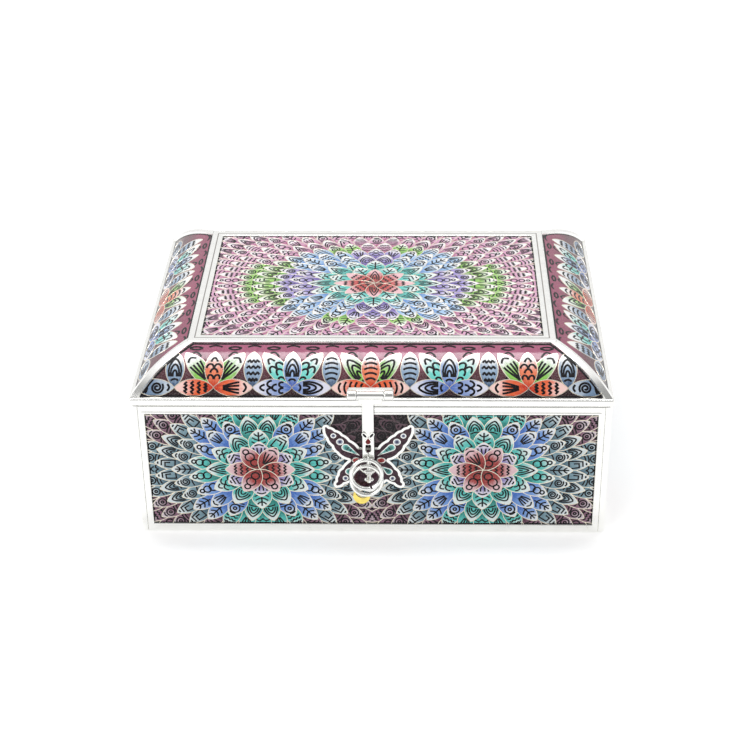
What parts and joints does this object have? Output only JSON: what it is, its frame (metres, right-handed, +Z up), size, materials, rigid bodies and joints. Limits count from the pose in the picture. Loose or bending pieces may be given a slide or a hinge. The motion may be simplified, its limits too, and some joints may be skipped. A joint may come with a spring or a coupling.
{
  "type": "jewelry chest",
  "caption": "Small rectangular jewelry chest of enamelled metal panels in silvered frames, with a hipped hinged lid, velvet lining, and a front hasp with a pull ring over a butterfly plate",
  "frame": {"origin": "middle of the flat underside that the chest rests on", "axes": "+X to the right seen from the front, +Y to the back, where the lid hinges are, +Z up; the hasp is on -Y"},
  "size_m": [0.18, 0.1477, 0.0737],
  "materials": {
    "silver_frame": "polished silver plate, slightly soft at the edges",
    "silver_fittings": "polished cast silver-plated fittings",
    "steel_pin": "drawn wire",
    "core_metal": "plain sheet behind the panels",
    "case_enamel": "glossy fired enamel with fine silver wires",
    "lid_enamel": "glossy fired enamel with fine silver wires",
    "dark_enamel": "dark glossy enamel",
    "jewel_enamel": "small raised enamel cells with wire rims",
    "gilt": "bright gilt",
    "velvet": "short-pile velvet",
    "felt": "thin felt",
    "board": "stiff board"
  },
  "bodies": {
    "chest": {"back_enamel": "case_enamel", "back_lining": "velvet", "back_panel_frame": "silver_frame", "back_wall": "core_metal", "base_felt": "felt", "base_plate": "core_metal", "butterfly_cells": "jewel_enamel", "butterfly_enamel": "dark_enamel", "butterfly_plate": "silver_fittings", "catch_knob": "silver_fittings", "corner_post_back_left": "silver_frame", "corner_post_back_right": "silver_frame", "corner_post_front_left": "silver_frame", "corner_post_front_right": "silver_frame", "floor_board": "board", "floor_pad": "velvet", "front_enamel": "case_enamel", "front_lining": "velvet", "front_panel_frame": "silver_frame", "front_wall": "core_metal", "hinge_left_lower_leaf": "silver_fittings", "hinge_left_pin": "steel_pin", "hinge_right_lower_leaf": "silver_fittings", "hinge_right_pin": "steel_pin", "left_enamel": "case_enamel", "left_lining": "velvet", "left_panel_frame": "silver_frame", "left_wall": "core_metal", "right_enamel": "case_enamel", "right_lining": "velvet", "right_panel_frame": "silver_frame", "right_wall": "core_metal"},
    "lid": {"lid_rim": "silver_frame", "lid_top_frame": "silver_frame", "lid_top_enamel": "lid_enamel", "lid_inner_board": "board", "lid_pad": "velvet", "hasp_leaf": "silver_fittings", "hasp_pin": "steel_pin", "hinge_left_upper_leaf": "silver_fittings", "hinge_right_upper_leaf": "silver_fittings", "lid_front_enamel": "lid_enamel", "lid_back_enamel": "lid_enamel", "lid_left_enamel": "lid_enamel", "lid_right_enamel": "lid_enamel", "lid_rib_front_left": "silver_frame", "lid_rib_front_right": "silver_frame", "lid_rib_back_left": "silver_frame", "lid_rib_back_right": "silver_frame"},
    "hasp": {"hasp_strap": "silver_fittings", "hasp_ornament": "silver_fittings", "ring_eye": "silver_fittings"},
    "pull_ring": {"pull_ring": "silver_fittings", "crescent_charm": "gilt"}
  },
  "joints": [
    {"name": "lid_hinge", "type": "hinge", "parent": "chest", "child": "lid", "pos_m": [0, 0.0699, 0.0571], "axis": [-1, 0, 0], "range_deg": [0, 105]},
    {"name": "hasp_hinge", "type": "hinge", "parent": "lid", "child": "hasp", "pos_m": [0, -0.0702, 0.0636], "axis": [-1, 0, 0], "range_deg": [0, 150]},
    {"name": "ring_swing", "type": "hinge", "parent": "hasp", "child": "pull_ring", "pos_m": [0, -0.07255, 0.03685], "axis": [-1, 0, 0], "range_deg": [0, 86]}
  ]
}
